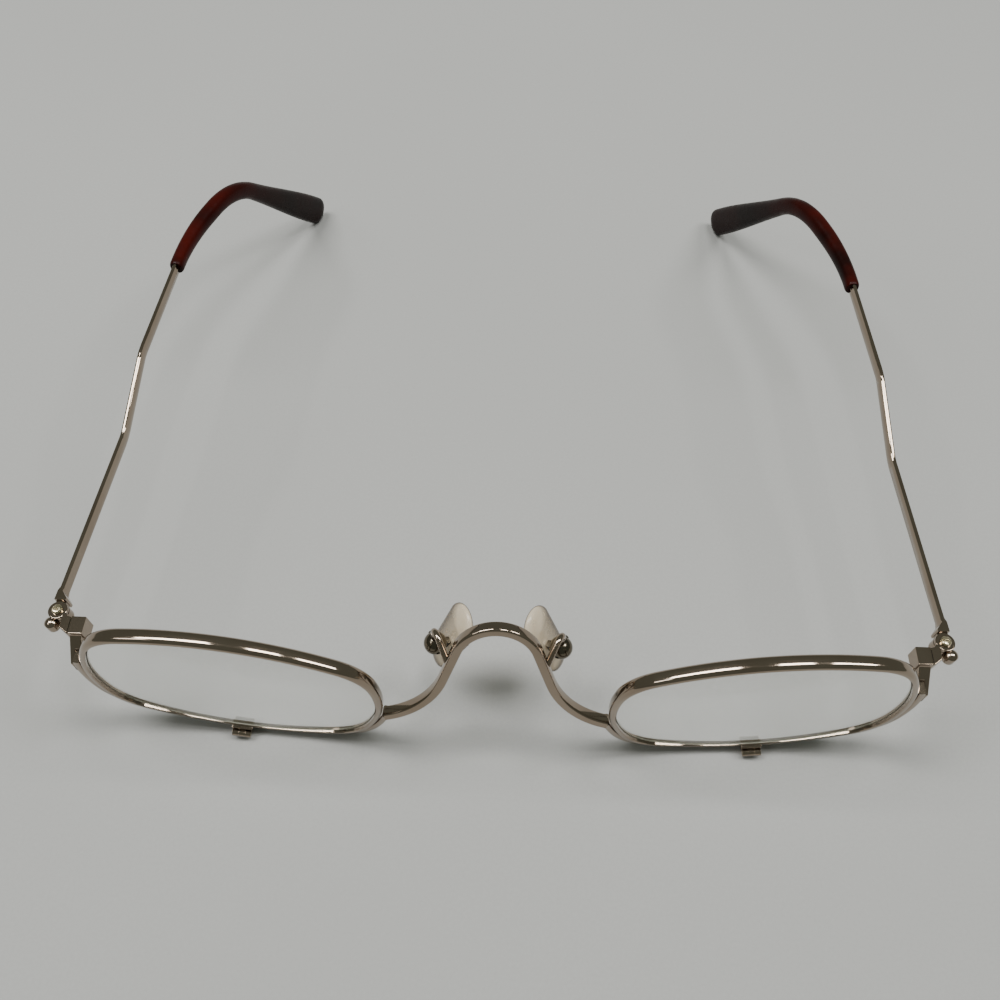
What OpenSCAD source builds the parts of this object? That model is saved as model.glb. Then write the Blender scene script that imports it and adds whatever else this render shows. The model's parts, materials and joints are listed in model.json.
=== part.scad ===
// Makeup glasses: a half-eye metal frame that carries two round-cornered magnifying lenses.
// Each lens has its own closed rim, hinged at the bottom, and flips forward and down by itself.
// The frame stands on its lower rims and on the two temple tips, front towards -Y, top towards +Z.
// Each paired piece is drawn on the +X side and mirrored for the -X side.

/* [Lens rims] */
// Width of a lens rim over its wire
rim_w = 46.2; // [44:0.2:49]
// Height of a lens rim over its wire
rim_h = 35; // [33:0.2:37]
// Radius of the long flat stretches at a rim's top and bottom
rim_top_r = 45; // [40:1:55]
// Radius of a rim's two ends
rim_end_r = 26; // [25:0.5:30]
// Radius of a rim's four corners
rim_corner_r = 10; // [8:0.5:11]
// Thickness of the rim wire, seen from the front
rim_t = 1.1; // [1:0.05:1.3]
// Depth of the rim wire, front to back
rim_d = 2.2; // [2:0.05:2.6]
// Radius of the crowned outer face of the rim wire
rim_crown_r = 1.6; // [1.4:0.1:3]
// Depth of the groove inside the rim
groove_deep = 0.45; // [0.35:0.05:0.6]
// Width of the groove inside the rim
groove_w = 0.9; // [0.8:0.05:1.1]
// Free gap between the two rims over the nose
nose_gap = 35; // [32:0.5:38]
// Angle that each rim's outer end is swept back by
face_sweep = 3.2; // [1:0.2:6]
// Angle that each rim's outer end is raised by
face_roll = 8.4; // [5:0.2:10]

/* [Lenses] */
// Thickness of a lens at its two narrow ends
lens_edge = 1.1; // [1.05:0.05:1.3]
// Radius of the lens's front surface
lens_front_r = 250; // [200:10:400]
// Radius of the lens's hollow back surface
lens_back_r = 600; // [500:20:900]
// Play between the lens and its rim
lens_play = 0.05; // [0.02:0.01:0.08]

/* [Lower rims] */
// Gap between a lens rim and the lower rim that it closes into
seat_gap = 0.3; // [0.2:0.05:0.5]
// Thickness of the lower rim's wire, seen from the front
lower_t = 1.1; // [0.9:0.05:1.4]
// Depth of the lower rim's wire, front to back
lower_d = 2; // [1.6:0.1:2.4]
// Distance from the lens rim's front face back to the lower rim's
lower_set = 0.6; // [0.4:0.1:0.9]
// Rounding of the edges of every flat wire
wire_edge = 0.28; // [0.15:0.01:0.32]
// Angle below the rim's middle where the lower rim ends, beside the nose
inner_end = 6.3; // [5:0.1:7.5]
// Angle above the rim's middle where the lower rim ends, at the temple
outer_end = 1; // [-1:0.5:3]

/* [Bridge] */
// Thickness of the bridge bar, seen from the front
bridge_t = 1.5; // [1.2:0.1:1.9]
// Depth of the bridge bar, front to back
bridge_d = 2.1; // [1.7:0.1:2.6]
// Height of the arch over its feet, along its own plane
bridge_rise = 18.6; // [17:0.2:20]
// Radius of the arch's top
bridge_top_r = 6.6; // [6:0.1:7.2]
// Angle of the arch's legs from upright
bridge_leg = 20; // [16:1:24]
// Angle of the arch's feet from upright
bridge_foot = 75; // [68:1:80]
// Angle that the arch leans back over the nose
bridge_lean = 24.5; // [15:0.5:30]
// Angle below the rim's middle where the arch's feet meet the lower rims
foot_at = 8; // [7:0.5:12]

/* [Lens hinges] */
// Radius of a lens hinge's knuckles
flip_knuckle_r = 0.65; // [0.6:0.05:0.75]
// Radius of a lens hinge's pin
flip_pin_r = 0.3; // [0.25:0.05:0.35]
// Width of the middle knuckle, on the lens rim
flip_leaf_w = 1; // [0.8:0.1:1.4]
// Width of each outer knuckle, on the lower rim
flip_base_w = 1; // [0.8:0.1:1.3]
// Width of the plate on the lens rim
flip_plate_w = 3.4; // [2.6:0.1:4]
// Thickness of the plate on the lens rim
flip_plate_t = 0.5; // [0.4:0.05:0.6]
// Distance from the lens rim's front face to the hinge's axis
flip_forward = 0.8; // [0.75:0.05:1]
// Distance from the lens rim's lower edge down to the hinge's axis
flip_below = 0.35; // [0.3:0.05:0.6]

/* [Temple hinges] */
// Distance from the rims' outer ends out to the temple hinge's axis
hinge_out = 4.3; // [3.9:0.1:5]
// Distance from the rims' middle plane back to the temple hinge's axis
hinge_back = 8.4; // [7.8:0.1:9.4]
// Height of the temple hinge above the rims' middle
hinge_up = 6; // [4.5:0.25:7]
// Radius of the temple hinge's round ears and tongue
barrel_r = 1.5; // [1.4:0.05:1.6]
// Radius of the temple screw's shank
screw_r = 0.5; // [0.4:0.05:0.6]
// Radius of the temple screw's head
screw_head_r = 0.8; // [0.7:0.05:1]
// Height of the temple screw's head
screw_head_h = 0.5; // [0.4:0.05:0.7]
// Thickness of each ear of the end piece
ear_t = 0.75; // [0.65:0.05:0.9]
// Thickness of the temple's tongue between the ears
tongue_t = 1.3; // [1.1:0.1:1.6]
// Width of the block where the end piece meets its arm
block_w = 2.4; // [2:0.1:2.8]
// Width of the end piece's arm
arm_w = 1.8; // [1.4:0.1:2]
// Depth of the bar between the block and the barrel
bar_d = 2.9; // [2.4:0.1:3.2]
// Half height of the end piece's arm where it meets the lower rim
arm_foot = 1.3; // [1:0.1:1.5]
// Height of the step on top of the block
step_h = 0.3; // [0.2:0.05:0.5]

/* [Temples] */
// Thickness of the temple strip
strip_t = 0.8; // [0.7:0.05:1]
// Height of the temple strip
strip_h = 2.2; // [1.9:0.1:2.6]
// Distance that the temple strip lies outside the hinge's axis
strip_x = 0.85; // [0.75:0.05:1]
// Height of the temple's block and nose at the hinge
butt_h = 2.6; // [2.4:0.1:2.9]
// Width of the block behind the hinge's ears
butt_w = 1.8; // [1.6:0.1:1.9]
// Distance from the hinge's axis back to the block's end
butt_back = 3.4; // [3.2:0.1:4]
// Length of the chamfer from the block to the strip
butt_slope = 0.8; // [0.5:0.1:1.2]
// Radius of the temple's round nose in front of the hinge's ears
nose_r = 1; // [0.85:0.05:1.05]
// Distance from the hinge's axis forward to the middle of the nose
nose_y = 1.85; // [1.75:0.05:2]
// Distance that the middle of the nose lies outside the hinge's axis
nose_x = 0.7; // [0.6:0.05:0.9]
// Angle that the temples turn inwards by
temple_in = 3.6; // [2:0.1:5]
// Length from the hinge's axis to the first bend
front_run = 33; // [28:1:38]
// Height that the two bends lift the temple by
temple_lift = 4.7; // [3:0.1:6]
// Angle of the strip between the two bends
lift_angle = 17.4; // [14:0.2:22]
// Radius of the two bends
lift_r = 8; // [5:0.5:12]
// Length from the second bend to the plastic tip
rear_run = 20.3; // [15:0.5:26]

/* [Temple tips] */
// Radius of the round core wire inside a tip
core_r = 0.45; // [0.35:0.05:0.47]
// Play between the core wire and the tip
core_play = 0.08; // [0.04:0.01:0.12]
// Half height of a tip where it starts
tip_start_h = 1.4; // [1.2:0.05:1.5]
// Half thickness of a tip where it starts
tip_start_t = 1.3; // [1.1:0.05:1.4]
// Half height of a tip at the ear bend
tip_mid_h = 1.7; // [1.5:0.05:2]
// Half thickness of a tip at the ear bend
tip_mid_t = 1.55; // [1.3:0.05:1.8]
// Half height of a tip's paddle
paddle_h = 3.1; // [2.6:0.1:3.5]
// Half thickness of a tip's paddle
paddle_t = 1.5; // [1.2:0.05:1.8]
// Straight length of a tip before it turns inwards
tip_lead = 1; // [0.5:0.5:3]
// Radius of the inward turn
tip_in_r = 50; // [40:1:60]
// Angle of the inward turn
tip_in = 17; // [12:0.5:19]
// Straight length between the inward turn and the ear bend
tip_run = 1.5; // [0.5:0.5:4]
// Radius of the ear bend
ear_r = 18; // [15:0.5:22]
// Angle of the ear bend
ear_angle = 46; // [42:0.5:52]
// Length of the core wire behind the ear bend
core_tail = 16; // [8:1:18]

/* [Nose pads] */
// Distance between the two pad screws
pad_span = 20.2; // [19.4:0.1:22]
// Distance from the rims' middle plane back to the pad screws
pad_back = 8.8; // [8.2:0.1:10]
// Height of the pad screws above the rims' lowest point
pad_up = 18.3; // [17:0.1:19]
// Angle that a pad opens towards the face by
pad_splay = 20; // [14:1:26]
// Angle that a pad's top leans inwards by
pad_tilt = 26; // [20:1:30]
// Radius of a pad box
box_r = 1.9; // [1.75:0.05:2]
// Radius of a pad screw's shank
pad_screw_r = 0.33; // [0.28:0.01:0.36]
// Width of a pad's metal stud
stud_w = 1.2; // [1:0.1:1.4]
// Half length of a pad's metal stud
stud_l = 0.75; // [0.65:0.05:0.8]
// Distance from the pad screw to the back of the pad
pad_off = 2.3; // [2.2:0.05:2.6]
// Length of a pad
pad_l = 14.6; // [13:0.1:15.4]
// Width of a pad
pad_w = 7.6; // [7:0.1:8.4]
// Size of a pad's lower end, as a share of its upper end
pad_taper = 0.8; // [0.6:0.05:0.95]
// Thickness of a pad
pad_t = 2.4; // [2:0.1:2.8]
// Distance that a pad's middle hangs below its screw
pad_drop = 0.45; // [0:0.05:1.2]
// Distance that a pad's middle lies behind its screw
pad_shift = 1.1; // [0.4:0.1:1.4]
// Radius of a pad arm's wire
arm_r = 0.55; // [0.45:0.01:0.6]
// Radius of the loop in a pad arm
arm_loop_r = 1.5; // [1.2:0.1:1.8]
// Angle that a pad arm climbs at before its loop
arm_climb = 30; // [25:1:38]
// Distance up the bridge's straight leg where a pad arm starts
arm_up = 3; // [2:0.5:4.5]

/* [Hidden] */
$fn = 64;

// Running play of a pin in its knuckle, and side play between the knuckles
pin_play = 0.03;
side_play = 0.07;
// Fit of a pin or screw in the piece that holds it
held_play = 0.01;
// Angle that neighbouring arcs of a rim overlap by, which joins them into one solid
seam = 0.02;
// How much slimmer a wire's bends are drawn, and how far they reach into its straight runs
bend_slim = 0.01;
bend_reach = 0.1;
// Length that one piece is drawn into the next, where it is joined or trimmed to it
overrun = 1.5;

// Rim outline, worked out as tangent arcs for one quarter: end, corner and top
half_w = rim_w / 2;
half_h = rim_h / 2;
end_c = half_w - rim_end_r;
top_c = half_h - rim_top_r;
reach_end = rim_end_r - rim_corner_r;
reach_top = rim_top_r - rim_corner_r;
// The corner's centre lies reach_end from the end's centre and reach_top from the top's
centre_gap = norm([end_c, top_c]);
along = (reach_end * reach_end - reach_top * reach_top + centre_gap * centre_gap) / (2 * centre_gap);
aside = sqrt(reach_end * reach_end - along * along);
to_top = [-end_c, top_c] / centre_gap;
corner = [end_c, 0] + along * to_top + aside * [-to_top[1], to_top[0]];
end_angle = atan2(corner[1], corner[0] - end_c);
top_angle = atan2(corner[1] - top_c, corner[0]);
// Each arc: centre, radius, and the angles that it runs between
rim_arcs = [
    [[end_c, 0], rim_end_r, -end_angle, end_angle],
    [corner, rim_corner_r, end_angle, top_angle],
    [[0, top_c], rim_top_r, top_angle, 180 - top_angle],
    [[-corner[0], corner[1]], rim_corner_r, 180 - top_angle, 180 - end_angle],
    [[-end_c, 0], rim_end_r, 180 - end_angle, 180 + end_angle],
    [[-corner[0], -corner[1]], rim_corner_r, 180 + end_angle, 180 + top_angle],
    [[0, -top_c], rim_top_r, 180 + top_angle, 360 - top_angle],
    [[corner[0], -corner[1]], rim_corner_r, 360 - top_angle, 360 - end_angle],
    [[end_c, 0], rim_end_r, 360 - end_angle, 360 + end_angle]
];
lower_from = 180 + inner_end;
lower_to = 360 + outer_end;
lower_out = seat_gap + lower_t;

// Places on the rim plane: the outline pushed out by a distance, at one angle of its surface
function on_end(angle, out) =
    [end_c * (cos(angle) < 0 ? -1 : 1), 0] + (rim_end_r + out) * [cos(angle), sin(angle)];

// Height of the rims' middle, which puts the lower rims' lowest points on the ground
rim_x = nose_gap / 2 + half_w;
rim_z = rim_top_r + lower_out + top_c * cos(face_roll);
// A place on the right rim's plane, u outwards, y back and v up, in the frame's own axes
function rim_place(u, y, v) = [
    rim_x + (u * cos(face_roll) - v * sin(face_roll)) * cos(face_sweep) - y * sin(face_sweep),
    (u * cos(face_roll) - v * sin(face_roll)) * sin(face_sweep) + y * cos(face_sweep),
    rim_z + u * sin(face_roll) + v * cos(face_roll)
];
lower_y = -rim_d / 2 + lower_set + lower_d / 2;

// Lens: how far its two surfaces stand from the rim's plane at the lens's middle. The hollow back
// meets the rim at the groove's back edge, above and below.
rim_in = half_w - rim_t;
lens_back = groove_w / 2 - bow(lens_back_r, half_h - rim_t);
lens_front = lens_edge - lens_back - bow(lens_back_r, rim_in) + bow(lens_front_r, rim_in);

// Bridge: foot, leg and arch, worked out so that they run into each other smoothly
foot_uv = on_end(180 + foot_at, lower_out);
foot = rim_place(foot_uv[0], lower_y, foot_uv[1]);
arch_across = foot[0] - bridge_top_r * cos(bridge_leg);
arch_down = bridge_rise - bridge_top_r * (1 - sin(bridge_leg));
foot_dx = cos(bridge_leg) - cos(bridge_foot);
foot_ds = sin(bridge_foot) - sin(bridge_leg);
bridge_foot_r = (arch_across - arch_down * tan(bridge_leg)) / (foot_dx - tan(bridge_leg) * foot_ds);
leg_l = (arch_down - bridge_foot_r * foot_ds) / cos(bridge_leg);
// A place on the bridge's plane, x across and s up from the feet, t behind the plane
function bridge_place(x, s, t) = [
    x,
    foot[1] + s * sin(bridge_lean) + t * cos(bridge_lean),
    foot[2] + s * cos(bridge_lean) - t * sin(bridge_lean)
];

// Temple hinge
hinge = [rim_x + half_w + hinge_out, hinge_back, rim_z + hinge_up];
end_h = tongue_t + 2 * side_play + 2 * ear_t;
slot_r = barrel_r + 0.3;
butt_in = strip_x + strip_t / 2 - butt_w;

// Temple: the sloping run between its two bends, and its length to the tip
lift_run = (temple_lift - 2 * lift_r * (1 - cos(lift_angle))) / sin(lift_angle);
tip_y = front_run + 2 * lift_r * sin(lift_angle) + lift_run * cos(lift_angle) + rear_run;
// Tip: the last straight run puts the paddle's rounded end on the ground
ear_at = tip_lead + tip_in_r * tip_in * PI / 180 + tip_run;
ear_len = ear_r * ear_angle * PI / 180;
tail_l = (hinge[2] + temple_lift - ear_r * (1 - cos(ear_angle)) - paddle_h) / sin(ear_angle);
tip_l = ear_at + ear_len + tail_l;

// Middle of the object, front to back, which is put over the origin
front_y = rim_place(0, -rim_d / 2 - flip_forward, -half_h - flip_below)[1] - flip_knuckle_r;
tip_reach = tip_lead + tip_in_r * sin(tip_in) + cos(tip_in)
    * (tip_run + ear_r * sin(ear_angle) + tail_l * cos(ear_angle));
tip_side = tip_in_r * (1 - cos(tip_in)) + sin(tip_in)
    * (tip_run + ear_r * sin(ear_angle) + tail_l * cos(ear_angle));
tip_turn = tip_in + temple_in;
back_y = hinge_back + (tip_y + tip_reach) * cos(temple_in) - (tip_side - strip_x) * sin(temple_in)
    + norm([paddle_h * cos(tip_turn), paddle_t * sin(tip_turn)]);
middle_y = (front_y + back_y) / 2;

// Shared shapes

module mirrored(side) {
    mirror([side < 0 ? 1 : 0, 0, 0]) children();
}

module place(side) {
    translate([0, -middle_y, 0]) mirrored(side) children();
}

module in_rim() {
    translate([rim_x, 0, rim_z]) rotate([0, -face_roll, face_sweep]) children();
}

// Flat wire section with rounded edges, w across and h up
module flat_section(w, h, edge) {
    polygon([
        for (q = [0 : 3], a = [0, 45, 90])
            let (x = (q == 0 || q == 3) ? 1 : -1, y = q < 2 ? 1 : -1)
                [x * (w / 2 - edge), y * (h / 2 - edge)] + edge * [cos(q * 90 + a), sin(q * 90 + a)]
    ]);
}

// A wire along +X: each step is a straight run, then a bend of a radius and an angle, towards
// +Y when the roll is 0, +Z when it is 90. The first child is the section of its straight runs,
// and the second, a hair slimmer, that of its bends, which reach a little into the runs.
module wire(steps, i = 0) {
    if (i < len(steps)) {
        run = steps[i][0];
        radius = steps[i][1];
        turn = steps[i][2];
        roll = steps[i][3];
        reach = turn > 0 ? bend_reach / radius * 180 / PI : 0;
        if (run > 0) rotate([90, 0, 90]) linear_extrude(run) children(0);
        translate([run, 0, 0]) rotate([roll, 0, 0]) {
            if (turn > 0)
                translate([0, radius, 0]) rotate([0, 0, -90 - reach])
                    rotate_extrude(angle = turn + 2 * reach, $fn = 180)
                        translate([radius, 0]) mirror([1, 0]) rotate(-roll) children(1);
            translate([0, radius, 0]) rotate([0, 0, turn]) translate([0, -radius, 0])
                rotate([-roll, 0, 0]) wire(steps, i + 1) {
                    children(0);
                    children(1);
                }
        }
    }
}

// A section swept round part of the rim outline. The child's x is outwards from the outline
// and its y is towards the front. It is drawn in the rim's plane, front towards -Y.
module rim_sweep(from, to) {
    rotate([90, 0, 0])
        for (arc = rim_arcs) {
            start = max(arc[2], from);
            sweep = min(arc[3], to) - start;
            if (sweep > 0.01)
                translate(arc[0]) rotate([0, 0, start])
                    rotate_extrude(angle = sweep + seam, $fn = 360) translate([arc[1], 0]) children();
        }
}

// Points of the rim outline, pushed out by a distance
function rim_points(out, per_arc) = [
    for (arc = [for (i = [0 : 7]) rim_arcs[i]], k = [0 : per_arc - 1])
        let (a = arc[2] + (arc[3] - arc[2]) * k / per_arc)
            arc[0] + (arc[1] + out) * [cos(a), sin(a)]
];

module rim_slab(out, front, back) {
    rotate([90, 0, 0]) translate([0, 0, -back]) linear_extrude(front + back)
        polygon(rim_points(out, 14));
}

// Front frame

module lower_rim() {
    color("#c9b68f") in_rim() rim_sweep(lower_from, lower_to)
        translate([seat_gap + lower_t / 2, -lower_y]) flat_section(lower_t, lower_d, wire_edge);
}

module bridge_bar() {
    translate([-foot[0], foot[1], foot[2]]) rotate([90 - bridge_lean, 0, 0])
        rotate([0, 0, 90 - bridge_foot]) translate([-overrun, 0, 0])
            wire([
                [overrun, bridge_foot_r, bridge_foot - bridge_leg, 0],
                [leg_l, bridge_top_r, 180 - 2 * bridge_leg, 180],
                [leg_l, bridge_foot_r, bridge_foot - bridge_leg, 0],
                [overrun, 0, 0, 0]
            ]) {
                flat_section(bridge_t, bridge_d, wire_edge);
                flat_section(bridge_t - bend_slim, bridge_d - bend_slim, wire_edge);
            }
}

module bridge() {
    color("#c9b68f") difference() {
        bridge_bar();
        for (side = [-1, 1]) mirrored(side) in_rim() rim_slab(lower_out, 8, 8);
    }
}

// Hinge block at the temple: an arm from the lower rim, a stepped block, a bar and two ears.
// The plan is drawn from the hinge's axis, x outwards and y back.
bar_x = -hinge_out - 0.6;
bar_back = -1.05;
module end_plan() {
    circle(barrel_r);
    polygon([
        [bar_x, bar_back], [bar_x + block_w, bar_back], [-barrel_r * 1.25, bar_back + 0.2],
        [-barrel_r * 0.9, -barrel_r * 0.2], [-barrel_r * 0.3, -barrel_r * 0.6],
        [-barrel_r * 0.62, -barrel_r * 0.75], [-nose_r, bar_back - bar_d * 0.62],
        [bar_x + block_w, bar_back - bar_d], [bar_x, bar_back - bar_d]
    ]);
}

// The arm is a plate that rises from the outer end of the lower rim to the top of the block
arm_uv = on_end(outer_end - 2.6, seat_gap + lower_t / 2);
arm_root = rim_place(arm_uv[0], lower_y, arm_uv[1]);
module end_arm() {
    reach = hinge + [bar_x + block_w / 2, bar_back - bar_d, 0] - arm_root;
    run = norm([reach[0], reach[1]]);
    translate([arm_root[0], arm_root[1], 0]) rotate([0, 0, atan2(reach[1], reach[0])])
        rotate([90, 0, 0]) linear_extrude(arm_w, center = true)
            polygon([
                [-lower_d * 0.4, arm_root[2] - arm_foot], [run + 0.3, hinge[2] - end_h / 2 + 0.1],
                [run + 0.3, hinge[2] + end_h / 2 - 0.1], [-lower_d * 0.4, arm_root[2] + arm_foot]
            ]);
}

module end_piece() {
    color("#b9a67c") difference() {
        union() {
            translate(hinge - [0, 0, end_h / 2]) linear_extrude(end_h) end_plan();
            translate(hinge + [bar_x, bar_back - bar_d, -end_h / 2])
                cube([block_w, bar_d, end_h + step_h]);
            end_arm();
        }
        // Room for the lens rim and the lower rim
        in_rim() rim_slab(lower_out, 8, lower_y + lower_d / 2);
        // Slot for the temple's tongue, and the screw's hole
        translate(hinge - [0, 0, tongue_t / 2 + side_play])
            cylinder(h = tongue_t + 2 * side_play, r = slot_r);
        translate(hinge - [0, 0, end_h]) cylinder(h = 2 * end_h, r = screw_r + held_play);
        // Chamfer along the block's step
        translate(hinge + [bar_x + block_w, bar_back - bar_d / 2, end_h / 2 + step_h])
            rotate([0, 45, 0]) cube([step_h, 2 * bar_d, step_h], center = true);
    }
}

module slotted_screw(shank_r, length, head_r, head_h) {
    difference() {
        union() {
            cylinder(h = length, r = shank_r);
            translate([0, 0, length]) cylinder(h = head_h * 0.6, r = head_r);
            translate([0, 0, length + head_h * 0.6])
                cylinder(h = head_h * 0.4, r1 = head_r, r2 = head_r * 0.72);
        }
        translate([0, 0, length + head_h]) cube([3 * head_r, head_r * 0.36, head_h * 0.9], center = true);
    }
}

module temple_screw() {
    color("#d9cba4") translate(hinge - [0, 0, end_h / 2])
        slotted_screw(screw_r, end_h, screw_head_r, screw_head_h);
}

// Lens hinge, drawn in the rim's plane: its axis runs along x in front of the rim's lower edge
flip_axis = [0, -rim_d / 2 - flip_forward, -half_h - flip_below];
flip_w = flip_leaf_w + 2 * flip_base_w + 2 * side_play;
module in_flip() {
    in_rim() translate(flip_axis) rotate([0, 90, 0]) children();
}

module flip_base() {
    foot_z = -half_h - lower_out - flip_axis[2] + 0.1;
    color("#c9b68f") difference() {
        union() {
            in_flip() cylinder(h = flip_w, r = flip_knuckle_r, center = true);
            in_rim() translate(flip_axis + [-flip_w / 2, 0, foot_z])
                cube([flip_w, lower_set + flip_forward, -foot_z - seat_gap + flip_below * 0.2]);
        }
        in_flip() cylinder(h = flip_leaf_w + 2 * side_play, r = 2 * flip_knuckle_r, center = true);
        in_flip() cylinder(h = 2 * flip_w, r = flip_pin_r + held_play, center = true);
    }
}

module flip_pin() {
    color("#d9cba4") in_flip() cylinder(h = flip_w, r = flip_pin_r, center = true);
}

// Front frame's pad arms and pad boxes
pad_at = [pad_span / 2, pad_back, pad_up];
// The arm starts on the bridge's straight leg, a little above the curve of its foot
arm_start = bridge_place(
    foot[0] - bridge_foot_r * foot_dx - arm_up * sin(bridge_leg),
    bridge_foot_r * foot_ds + arm_up * cos(bridge_leg), 0
);
arm_flat = [pad_at[0] - arm_start[0], pad_at[1] - arm_start[1]];
arm_span = norm(arm_flat);
arm_run = (arm_span - arm_loop_r * (1 + sin(arm_climb))) / cos(arm_climb);
arm_fall = arm_start[2] + arm_run * sin(arm_climb) - arm_loop_r * cos(arm_climb) - pad_at[2];
module pad_arm() {
    color("#b9a67c") difference() {
        translate(arm_start) rotate([0, 0, atan2(arm_flat[1], arm_flat[0])])
            rotate([0, -arm_climb, 0])
                wire([
                    [arm_run, arm_loop_r, 90 + arm_climb, 270],
                    [arm_fall, 0, 0, 0]
                ]) {
                    circle(arm_r, $fn = 32);
                    circle(arm_r - bend_slim, $fn = 32);
                }
        bridge_bar();
        translate(pad_at) sphere(box_r);
    }
}

// The pad's own axes: -x towards the nose, y back along the pad, z up along the pad
module in_pad() {
    translate(pad_at) rotate([0, -pad_tilt, -pad_splay]) children();
}

pad_hole_l = 2 * box_r + 0.6;
module pad_screw_hole(play) {
    translate([0, -pad_hole_l / 2, 0]) rotate([-90, 0, 0])
        cylinder(h = pad_hole_l, r = pad_screw_r + play);
}

module pad_box() {
    mouth_w = stud_w + 2 * side_play;
    mouth_l = 2 * stud_l + 0.8;
    color("#b9a67c") in_pad() difference() {
        sphere(box_r);
        // Flat front where the stud goes in, and its slot
        translate([-box_r * 1.72, 0, 0]) cube(2 * box_r, center = true);
        translate([-box_r - 0.05, 0, 0]) cube([2 * box_r + 2.1, mouth_w, mouth_l], center = true);
        pad_screw_hole(held_play);
    }
}

module pad_screw() {
    color("#d9cba4") in_pad() translate([0, -box_r * 0.85, 0]) rotate([-90, 0, 0])
        slotted_screw(pad_screw_r, 1.82 * box_r, 1.9 * pad_screw_r, pad_screw_r);
}

module pad_stud() {
    color("#d9cba4") in_pad() difference() {
        translate([-pad_off, -stud_w / 2, -stud_l]) cube([pad_off + 0.7, stud_w, 2 * stud_l]);
        pad_screw_hole(pin_play);
    }
}

module nose_pad() {
    big = pad_w / 2;
    small = big * pad_taper;
    color("#e9dcc6", 0.7) in_pad() difference() {
        translate([-pad_off - pad_t / 2, pad_shift, -pad_drop]) hull() {
            translate([0, 0, pad_l / 2 - big]) scale([pad_t / 2 / big, 1, 1]) sphere(big, $fn = 32);
            translate([0, 0, small - pad_l / 2]) scale([pad_t / 2 / big, 1, 1]) sphere(small, $fn = 32);
        }
        translate([-pad_off, 0, 0]) cube([2 * 0.4, stud_w + 0.1, 2 * stud_l + 0.1], center = true);
    }
}

// Lens unit

// Half section of the rim wire: its outer face is crowned, in narrow flats
crown_flats = 6;
crown = [
    for (k = [0 : crown_flats])
        let (y = rim_d * (k / crown_flats - 0.5))
            [sqrt(rim_crown_r * rim_crown_r - y * y) - rim_crown_r, y]
];

module lens_rim() {
    color("#c9b68f") in_rim() rim_sweep(-end_angle, 360 - end_angle) difference() {
        polygon(concat([[-rim_t, rim_d / 2], [-rim_t, -rim_d / 2]], crown));
        translate([-rim_t - 0.2, -groove_w / 2]) square([0.2 + groove_deep, groove_w]);
    }
}

// Half section of the uncut lens, out from its middle: front surface, then back surface
lens_flats = 24;
lens_reach = half_w + 3;
function bow(radius, r) = radius - sqrt(radius * radius - r * r);
lens_section = concat(
    [for (k = [0 : lens_flats]) let (r = lens_reach * k / lens_flats)
        [r, lens_front - bow(lens_front_r, r)]],
    [for (k = [lens_flats : -1 : 0]) let (r = lens_reach * k / lens_flats)
        [r, -lens_back - bow(lens_back_r, r)]]
);
module lens() {
    bevel_w = groove_w - 2 * lens_play;
    color("#e8f0f0", 0.35) in_rim() {
        intersection() {
            rim_slab(-rim_t - lens_play, lens_front + 1, lens_edge + 1);
            rotate([90, 0, 0]) rotate_extrude($fn = 180) polygon(lens_section);
        }
        // Bevel that stands in the groove
        difference() {
            rim_slab(-rim_t + groove_deep - lens_play, bevel_w / 2, bevel_w / 2);
            rim_slab(-rim_t - lens_play - bevel_w / 2, bevel_w, bevel_w);
        }
    }
}

module flip_leaf() {
    plate_top = -half_h + rim_t * 0.92;
    plate_low = flip_axis[2] + flip_knuckle_r + 0.12;
    color("#c9b68f") difference() {
        in_rim() {
            translate([-flip_plate_w / 2, -rim_d / 2 - flip_plate_t, plate_low])
                cube([flip_plate_w, flip_plate_t, plate_top - plate_low]);
            translate([-flip_leaf_w / 2, -rim_d / 2 - flip_plate_t, flip_axis[2]])
                cube([flip_leaf_w, flip_plate_t, plate_top - flip_axis[2]]);
            translate(flip_axis) rotate([0, 90, 0])
                cylinder(h = flip_leaf_w, r = flip_knuckle_r, center = true);
        }
        in_flip() cylinder(h = 2 * flip_w, r = flip_pin_r + pin_play, center = true);
    }
}

// Temple, drawn from the hinge's axis: x outwards, y back along the temple

module at_hinge() {
    translate(hinge) rotate([0, 0, temple_in]) children();
}

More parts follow.
